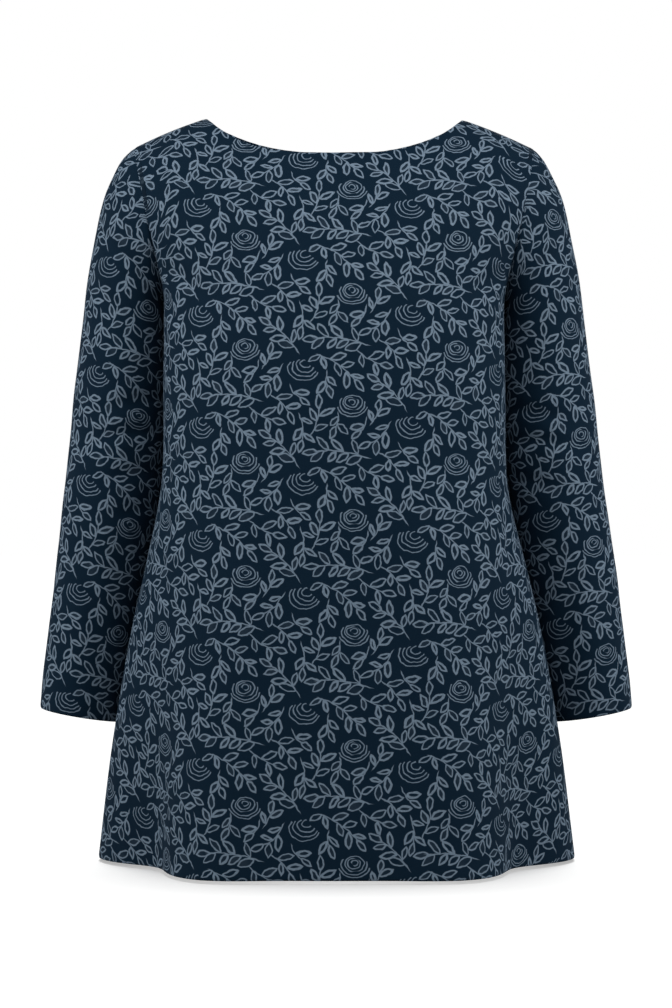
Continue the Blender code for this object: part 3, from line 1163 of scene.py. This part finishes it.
# The repeat of the print, in millimetres on the cut cloth: thirteen sprigs, an open rose seen from above,
# and a half-opened rose in profile with a leaf of its own.
STEMS = (
    Stem(32.6, 49.8, 160, 50, 26, 7, 1, 46, 15.5),
    Stem(93.0, 95.5, -18, 44, -34, 6, -1, 44, 14.5),
    Stem(71.1, 99.1, 119, 38, 30, 5, 1, 48, 15.0),
    Stem(24.1, 42.4, -44, 25, 30, 3, -1, 50, 14.5),
    Stem(45.9, 54.3, -26, 23, -38, 3, 1, 52, 14.0),
    Stem(85.3, 16.8, 55, 26, 36, 3, -1, 46, 15.0),
    Stem(73.5, 34.6, -66, 24, -36, 3, 1, 48, 14.0),
    Stem(55.9, 84.7, -112, 28, -44, 4, -1, 48, 14.0),
    Stem(100.7, 78.2, -108, 14, 40, 2, 1, 50, 13.5),
    Stem(4.1, 93.6, -79, 13, -40, 2, -1, 50, 14.0),
    Stem(64.8, 64.0, -77, 15, 44, 1, 1, 50, 13.0),
    Stem(32.3, 88.6, -93, 13, -44, 1, -1, 48, 13.5),
    Stem(36.9, 83.7, 45, 14, 36, 2, 1, 48, 13.0),
)
# Both roses are drawn on a round and flattened by ROSE_FLATNESS, as a rose seen a little from the side.
ROSE_FLATNESS = 0.80
OPEN_ROSE = (
    Arc(18.0, 103.0, 15.2, 272, 150),
    Arc(18.0, 103.8, 12.6, 262, 222),
    Arc(18.4, 105.0, 9.4, 96, 306),
    Arc(17.4, 105.4, 6.3, 236, 286),
    Arc(18.0, 105.9, 3.2, 40, 250),
)
HALF_ROSE = (
    Arc(77.0, 82.0, 15.2, 244, 192),
    Arc(78.2, 84.4, 12.4, 240, 184),
    Arc(78.8, 85.8, 8.8, 232, 204),
    Arc(79.4, 87.6, 5.0, 214, 226),
    Leaf(88.2, 95.2, 34, 14.0, 6.2, 0.2),
)


# Noise stays within about a third of its full span, and this widens it again.
NOISE_SPAN = 3
# Farther off than any stroke, in millimetres: where the search for the nearest one starts.
FAR_AWAY = 99.0


@dataclass(frozen=True)
class RosePrint:
    """The half-drop repeat of the print, drawn as distances to its lines, in millimetres."""

    width: float = 108.0
    height: float = 114.0
    half_line: float = 0.56
    softness: float = 0.34
    wobble: float = 1.1
    wobble_scale: float = 0.13
    wash: float = 0.07
    wash_reach: float = 1.1
    wash_scale: float = 0.06
    wash_span: tuple[float, float] = (0.35, 0.65)
    sprig_middle: float = 0.6

    def motifs(self) -> list[tuple[float, float, float, list[Arc | Leaf]]]:
        """The motifs, each with its middle, its flatness and its strokes.

        Returns:
            x and y of the middle, the flatness and the strokes, for each motif.
        """
        made: list[tuple[float, float, float, list[Arc | Leaf]]] = []
        for stem in STEMS:
            x, y, _ = stem.at(self.sprig_middle)
            made.append((x, y, 1.0, [stem.line(), *stem.sprays()]))
        for rose in (OPEN_ROSE, HALF_ROSE):
            made.append((rose[0].x, rose[0].y, ROSE_FLATNESS, list(rose)))
        return made

    def line(self, tree: bpy.types.NodeTree, place: Any, mark: Arc, x: float, y: float) -> Any:
        """Adds the nodes that measure the distance to an arc.

        Args:
            tree: The material's tree.
            place: Node with the place round the motif's middle.
            mark: The arc.
            x: The motif's middle across.
            y: The motif's middle up.

        Returns:
            The node with the distance.
        """
        centre = (mark.x - x, mark.y - y, 0)
        bearing = math.radians(mark.towards)
        facing = (math.cos(bearing), math.sin(bearing), 0)
        reach = mark.radius * math.cos(math.radians(mark.sweep / 2))
        reach += centre[0] * facing[0] + centre[1] * facing[1]
        near = add_node(tree, "VectorMath", (place, centre), operation="DISTANCE")
        near = add_node(tree, "Math", (near, mark.radius), operation="SUBTRACT")
        near = add_node(tree, "Math", (near,), operation="ABSOLUTE")
        end = add_node(tree, "VectorMath", (place, facing), operation="DOT_PRODUCT")
        end = add_node(tree, "Math", (reach, end), operation="SUBTRACT")
        return add_node(tree, "Math", (near, end), operation="MAXIMUM")

    def leaf(self, tree: bpy.types.NodeTree, place: Any, mark: Leaf, x: float, y: float) -> tuple[Any, Any]:
        """Adds the nodes that measure the distance to a leaf, which is where two circles overlap.

        Args:
            tree: The material's tree.
            place: Node with the place round the motif's middle.
            mark: The leaf.
            x: The motif's middle across.
            y: The motif's middle up.

        Returns:
            The nodes with the distance to its outline and with that to its edge, below 0 inside it.
        """
        half_length, half_width = mark.length / 2, mark.width / 2
        radius = (half_length**2 + half_width**2) / (2 * half_width)
        offset = radius - half_width
        heading = math.radians(mark.heading)
        away = (-math.sin(heading) * offset, math.cos(heading) * offset)
        sides = []
        for side in (1, -1):
            centre = (mark.x - x + side * away[0], mark.y - y + side * away[1], 0)
            sides.append(add_node(tree, "VectorMath", (place, centre), operation="DISTANCE"))
        edge = add_node(tree, "Math", sides, operation="MAXIMUM")
        edge = add_node(tree, "Math", (edge, radius - mark.inked), operation="SUBTRACT")
        outline = add_node(tree, "Math", (edge,), operation="ABSOLUTE")
        return add_node(tree, "Math", (outline, mark.inked), operation="SUBTRACT"), edge

    def place_round(self, tree: bpy.types.NodeTree, axes: Any, x: float, y: float, flatness: float) -> Any:
        """Adds the nodes that find the place round the nearest repeat of a motif's middle.

        Args:
            tree: The material's tree.
            axes: Node with the place on the flat cut, its axes apart.
            x: The motif's middle across.
            y: The motif's middle up.
            flatness: How flat the motif is drawn.

        Returns:
            The node with the place.
        """
        across = add_node(tree, "Math", (axes.outputs[0], x), operation="SUBTRACT")
        column = add_node(tree, "Math", (across, self.width), operation="DIVIDE")
        column = add_node(tree, "Math", (column,), operation="ROUND")
        across = add_node(tree, "Math", (column, -self.width, across), operation="MULTIPLY_ADD")
        up = add_node(tree, "Math", (axes.outputs[1], y), operation="SUBTRACT")
        up = add_node(tree, "Math", (column, -self.height / 2, up), operation="MULTIPLY_ADD")
        up = add_node(tree, "Math", (up, self.height / 2, -self.height / 2), operation="WRAP")
        up = add_node(tree, "Math", (up, flatness), operation="DIVIDE")
        return add_node(tree, "CombineXYZ", (across, up))

    def ink(self, tree: bpy.types.NodeTree, cut: Any) -> Any:
        """Adds the nodes of the whole print.

        Args:
            tree: The material's tree.
            cut: Node with the place on the flat cut, in metres.

        Returns:
            The node with the ink, 0 on the ground and 1 on a line.
        """
        place = add_node(tree, "VectorMath", {0: cut, "Scale": 1 / MM}, operation="SCALE")
        noise = {"Vector": place, "Scale": self.wobble_scale, "Detail": 1.0}
        shake = add_node(tree, "TexNoise", noise).outputs["Color"]
        shake = add_node(tree, "VectorMath", (shake, (0.5, 0.5, 0.5)), operation="SUBTRACT")
        swing = (NOISE_SPAN * self.wobble,) * 3
        shaken = add_node(tree, "VectorMath", (shake, swing, place), operation="MULTIPLY_ADD")
        axes = add_node(tree, "SeparateXYZ", (shaken,))
        nearest: Any = FAR_AWAY
        inside: Any = FAR_AWAY
        for x, y, flatness, marks in self.motifs():
            local = self.place_round(tree, axes, x, y, flatness)
            for mark in marks:
                if isinstance(mark, Arc):
                    line = self.line(tree, local, mark, x, y)
                else:
                    line, edge = self.leaf(tree, local, mark, x, y)
                    inside = add_node(tree, "Math", (inside, edge), operation="MINIMUM")
                nearest = add_node(tree, "Math", (nearest, line), operation="MINIMUM")
        thin, thick = self.half_line - self.softness, self.half_line + self.softness
        fade = {"Value": nearest, "From Min": thin, "From Max": thick, "To Min": 1.0, "To Max": 0.0}
        ink = add_node(tree, "MapRange", fade, interpolation_type="SMOOTHSTEP")
        noise = {"Vector": place, "Scale": self.wash_scale, "Detail": 0.0}
        patches = add_node(tree, "TexNoise", noise)
        least, most = self.wash_span
        some = {"Value": patches, "From Min": least, "From Max": most, "To Min": 0.0, "To Max": self.wash}
        amount = add_node(tree, "MapRange", some)
        deep = -self.wash_reach
        fill = {"Value": inside, "From Min": deep, "From Max": 0.0, "To Min": amount, "To Max": 0.0}
        wash = add_node(tree, "MapRange", fill, interpolation_type="SMOOTHSTEP")
        return add_node(tree, "Math", (ink, wash), operation="MAXIMUM")


@dataclass(frozen=True)
class PrintedCrepe:
    """Light woven viscose crepe, dyed navy and screen printed.

    Its hard-twisted yarn is matt and pebbled, so that the cloth has next to no gloss and lightens a little
    where it turns away from the eye. The ink lies in the yarn, so that its edges are soft and its tone is
    mottled.
    """

    name: str
    ground: str
    line: str
    cover: float
    mottle: float
    sheen: float
    print_design: RosePrint = RosePrint()
    # Two warp threads of this crepe take 0.7 mm and two weft threads 0.8 mm, too fine to show at full length,
    # so that both are drawn nearly twice as coarse.
    warp: float = 1.3
    weft: float = 1.5
    relief: float = 0.10
    relief_strength: float = 0.35
    pebble_scale: float = 700.0
    grain_scale: float = 420.0
    grain_span: tuple[float, float] = (0.3, 0.7)
    roughness: float = 0.88
    fibre_ior: float = 1.47
    gloss: float = 0.08
    sheen_roughness: float = 0.45
    sheen_tint: str = "#a9b8c8"

    def material(self) -> bpy.types.Material:
        """Makes the material.

        Returns:
            The material, ready for a piece of cloth.
        """
        made = bpy.data.materials.new(self.name)
        made.use_nodes = True
        made.diffuse_color = linear(self.ground)
        tree = made.node_tree
        shader = tree.nodes["Principled BSDF"]
        cut = add_node(tree, "UVMap", {}, uv_map=CUT_MAP)
        ink = self.print_design.ink(tree, cut)
        grain = add_node(tree, "TexNoise", {"Vector": cut, "Scale": self.grain_scale, "Detail": 2.0})
        low, high = self.grain_span
        thin = self.cover - self.mottle
        taken = {"Value": grain, "From Min": low, "From Max": high, "To Min": thin, "To Max": self.cover}
        share = add_node(tree, "Math", (ink, add_node(tree, "MapRange", taken)), operation="MULTIPLY")
        tones = {"Factor": share, "A": linear(self.ground), "B": linear(self.line)}
        colour = add_node(tree, "Mix", tones, data_type="RGBA")
        tree.links.new(colour.outputs["Result"], shader.inputs["Base Color"])
        tree.links.new(self.weave(tree, cut), shader.inputs["Normal"])
        shader.inputs["Roughness"].default_value = self.roughness
        shader.inputs["Metallic"].default_value = 0.0
        shader.inputs["IOR"].default_value = self.fibre_ior
        shader.inputs["Specular IOR Level"].default_value = self.gloss
        shader.inputs["Sheen Weight"].default_value = self.sheen
        shader.inputs["Sheen Roughness"].default_value = self.sheen_roughness
        shader.inputs["Sheen Tint"].default_value = linear(self.sheen_tint)
        return made

    def weave(self, tree: bpy.types.NodeTree, cut: Any) -> Any:
        """Adds the nodes of the weave's relief: a plain weave with a pebbled crepe surface.

        Args:
            tree: The material's tree.
            cut: Node with the place on the flat cut, in metres.

        Returns:
            The socket with the normal.
        """
        axes = add_node(tree, "SeparateXYZ", (cut,))
        threads = []
        for axis, pitch in enumerate((self.warp, self.weft)):
            turn = 2 * math.pi / (pitch * MM)
            along = add_node(tree, "Math", (axes.outputs[axis], turn), operation="MULTIPLY")
            threads.append(add_node(tree, "Math", (along,), operation="COSINE"))
        pebble = add_node(tree, "TexNoise", {"Vector": cut, "Scale": self.pebble_scale, "Detail": 1.0})
        height = add_node(tree, "Math", (*threads, pebble), operation="MULTIPLY_ADD")
        relief = {"Height": height, "Strength": self.relief_strength, "Distance": self.relief * MM}
        return add_node(tree, "Bump", relief).outputs[0]


@dataclass(frozen=True)
class Studio:
    """Pale floor, white surroundings, soft light from above and in front, and the camera."""

    camera_distance: float = 2.6
    camera_z: float = -0.4030
    view_height: float = 1.0584
    sensor: float = 36.0
    floor_gap: float = 0.003
    floor_size: float = 30.0
    floor_glow: float = 0.42
    # The light on the floor alone comes from nearly overhead and a little behind: degrees off the vertical,
    # degrees that its source spans, and power in watts to the square metre.
    floor_light: tuple[float, float, float] = (8.0, 20.0, 2.2)
    floor_colour: str = "#f4f4f3"
    floor_roughness: float = 0.95
    floor_gloss: float = 0.1
    room_light: float = 0.13
    clip: tuple[float, float] = (0.05, 100.0)
    # Name, place, what it points at, width and height, spread in degrees, and power in watts.
    lamps: tuple[tuple[str, Point, Point, tuple[float, float], float, float], ...] = (
        ("over_box", (0.0, -1.0, 1.6), (0.0, 0.0, -0.3), (1.2, 0.6), 120, 3.1),
        ("neck_box", (0.0, -0.75, 0.55), (0.0, -0.08, -0.15), (0.8, 0.3), 120, 0.85),
        ("left_box", (1.6, -1.4, 0.3), (0.0, 0.0, -0.35), (0.8, 0.8), 120, 6.9),
        ("right_box", (-1.6, -1.4, 0.3), (0.0, 0.0, -0.35), (0.8, 0.8), 120, 6.9),
        ("left_side_box", (2.2, -0.3, 0.5), (0.2, 0.0, -0.35), (0.8, 0.8), 120, 7.4),
        ("right_side_box", (-2.2, -0.3, 0.5), (-0.2, 0.0, -0.35), (0.8, 0.8), 120, 7.1),
        ("rear_box", (0.0, 2.4, 0.9), (0.0, 0.2, -0.4), (1.6, 1.0), 80, 10.0),
    )

    def build(self, cloth: Sequence[bpy.types.Object]) -> None:
        """Makes the floor, the surroundings, the lights and the camera.

        Args:
            cloth: The pieces that the soft boxes light.
        """
        scene = bpy.context.scene
        scene.view_settings.view_transform = "Standard"
        scene.view_settings.look = "None"
        table = self.group("floor_light_falls_on", [self.floor(scene)])
        garment = self.group("soft_boxes_fall_on", cloth)
        body = self.group("floor_light_is_stopped_by", [p for p in cloth if "sleeve" not in p.name])
        self.surroundings(scene)
        overhead = self.overhead(scene)
        overhead.light_linking.receiver_collection = table
        overhead.light_linking.blocker_collection = body
        for name, place, aim, size, spread, power in self.lamps:
            box = self.light(scene, name, place, aim, size, spread, power)
            box.light_linking.receiver_collection = garment
        self.camera(scene)

    def group(self, name: str, pieces: Sequence[bpy.types.Object]) -> bpy.types.Collection:
        """Groups the pieces that a light falls on or is stopped by, as flags beside it would see to.

        Args:
            name: What the group is for.
            pieces: The pieces in it.

        Returns:
            The group.
        """
        group = bpy.data.collections.new(name)
        for piece in pieces:
            group.objects.link(piece)
        return group

    def floor(self, scene: bpy.types.Scene) -> bpy.types.Object:
        """Makes the floor, just under the hem.

        Args:
            scene: The scene.

        Returns:
            The floor.
        """
        shape = bmesh.new()
        bmesh.ops.create_grid(shape, x_segments=1, y_segments=1, size=self.floor_size / 2)
        bmesh.ops.translate(shape, verts=shape.verts, vec=(0, 0, CAD_BOX[0].z - self.floor_gap))
        mesh = bpy.data.meshes.new("floor")
        shape.to_mesh(mesh)
        shape.free()
        floor = bpy.data.objects.new("floor", mesh)
        scene.collection.objects.link(floor)
        # Opal acrylic lit from below: a white light table, so that only a close shadow shows on it.
        paint = bpy.data.materials.new("opal_acrylic")
        paint.use_nodes = True
        shader = paint.node_tree.nodes["Principled BSDF"]
        shader.inputs["Base Color"].default_value = linear(self.floor_colour)
        shader.inputs["Roughness"].default_value = self.floor_roughness
        shader.inputs["Specular IOR Level"].default_value = self.floor_gloss
        shader.inputs["Emission Color"].default_value = (1, 1, 1, 1)
        shader.inputs["Emission Strength"].default_value = self.floor_glow
        mesh.materials.append(paint)
        floor.visible_diffuse = False
        return floor

    def surroundings(self, scene: bpy.types.Scene) -> None:
        """Surrounds the scene with a white backdrop, which itself gives only part of the light.

        Args:
            scene: The scene.
        """
        world = bpy.data.worlds.new("white_room")
        world.use_nodes = True
        scene.world = world
        tree = world.node_tree
        shade = tree.nodes["Background"]
        shade.inputs["Color"].default_value = (1, 1, 1, 1)
        seen = add_node(tree, "LightPath", {})
        shares = (seen.outputs["Is Camera Ray"], 1 - self.room_light, self.room_light)
        strength = add_node(tree, "Math", shares, operation="MULTIPLY_ADD")
        tree.links.new(strength.outputs[0], shade.inputs["Strength"])

    def light(
        self,
        scene: bpy.types.Scene,
        name: str,
        place: Point,
        aim: Point,
        size: tuple[float, float],
        spread: float,
        power: float,
    ) -> bpy.types.Object:
        """Hangs a soft box.

        Args:
            scene: The scene.
            name: Name of the light.
            place: Where it hangs.
            aim: What it points at.
            size: Its width and height.
            spread: How far its light spreads, in degrees, as set by its grid.
            power: Its power in watts.

        Returns:
            The light.
        """
        data = bpy.data.lights.new(name, "AREA")
        data.shape = "RECTANGLE"
        data.size, data.size_y = size
        data.spread = math.radians(spread)
        data.energy = power
        box = bpy.data.objects.new(name, data)
        scene.collection.objects.link(box)
        box.location = place
        box.visible_camera = False
        box.rotation_euler = (Vector(aim) - box.location).to_track_quat("-Z", "Y").to_euler()
        return box

    def overhead(self, scene: bpy.types.Scene) -> bpy.types.Object:
        """Hangs the wide light that whitens the floor and leaves the garment's close shadow on it.

        Args:
            scene: The scene.

        Returns:
            The light.
        """
        tilt, span, power = self.floor_light
        data = bpy.data.lights.new("overhead", "SUN")
        data.angle, data.energy = math.radians(span), power
        light = bpy.data.objects.new("overhead", data)
        scene.collection.objects.link(light)
        light.rotation_euler = (math.radians(-tilt), 0, 0)
        return light

    def camera(self, scene: bpy.types.Scene) -> None:
        """Sets up the camera, level and straight in front.

        Args:
            scene: The scene.
        """
        data = bpy.data.cameras.new("camera")
        data.sensor_width = self.sensor
        data.lens = self.sensor * self.camera_distance / self.view_height
        data.clip_start, data.clip_end = self.clip
        camera = bpy.data.objects.new("camera", data)
        scene.collection.objects.link(camera)
        camera.location = (0, -self.camera_distance, self.camera_z)
        camera.rotation_euler = (math.pi / 2, 0, 0)
        scene.camera = camera


def main() -> None:
    """Builds the cloth and the studio."""
    body = BodyForm()
    sleeves = SleeveForm(body)
    wall, swell = ClothWall(), Unevenness()
    outside = PrintedCrepe("printed_crepe_face", "#0a1f2f", "#7c8fa1", 0.96, 0.25, 0.03).material()
    inside = PrintedCrepe("printed_crepe_reverse", "#0b1b29", "#34434f", 0.9, 0.3, 0.03).material()
    front = body.panel(Facing.FRONT)
    back = body.panel(Facing.BACK)
    left = sleeves.grid(Side.LEFT, front, back)
    right = sleeves.grid(Side.RIGHT, front, back)
    front_cut, back_cut, sleeve_cut = (0.675, 0.815), (0.635, 0.813), (0.391, 0.607)
    pieces = (
        (front, Panel(wall, swell, (0.0, 0.0), Facing.FRONT, body, FRONT_CREASES, front_cut, 0.404)),
        (back, Panel(wall, swell, (0.041, 0.023), Facing.BACK, body, BACK_CREASES, back_cut, 0.3975)),
        (left, Sleeve(wall, swell, (0.070, 0.052), Side.LEFT, sleeves, LEFT_CREASES, sleeve_cut, 0.1711)),
        (right, Sleeve(wall, swell, (0.017, 0.081), Side.RIGHT, sleeves, RIGHT_CREASES, sleeve_cut, 0.1723)),
    )
    cloth = []
    for form, maker in pieces:
        piece = maker.build(body.swayed(form))
        cloth.append(piece)
        maker.dress(piece, outside, inside)
        maker.declare(piece)
        LOG.info("%s: %d faces before its wall", piece.name, len(piece.data.polygons))
    Studio().build(cloth)
    LOG.info("studio: floor, light and camera")


if __name__ == "__main__":
    logging.basicConfig(level=logging.INFO)
    main()
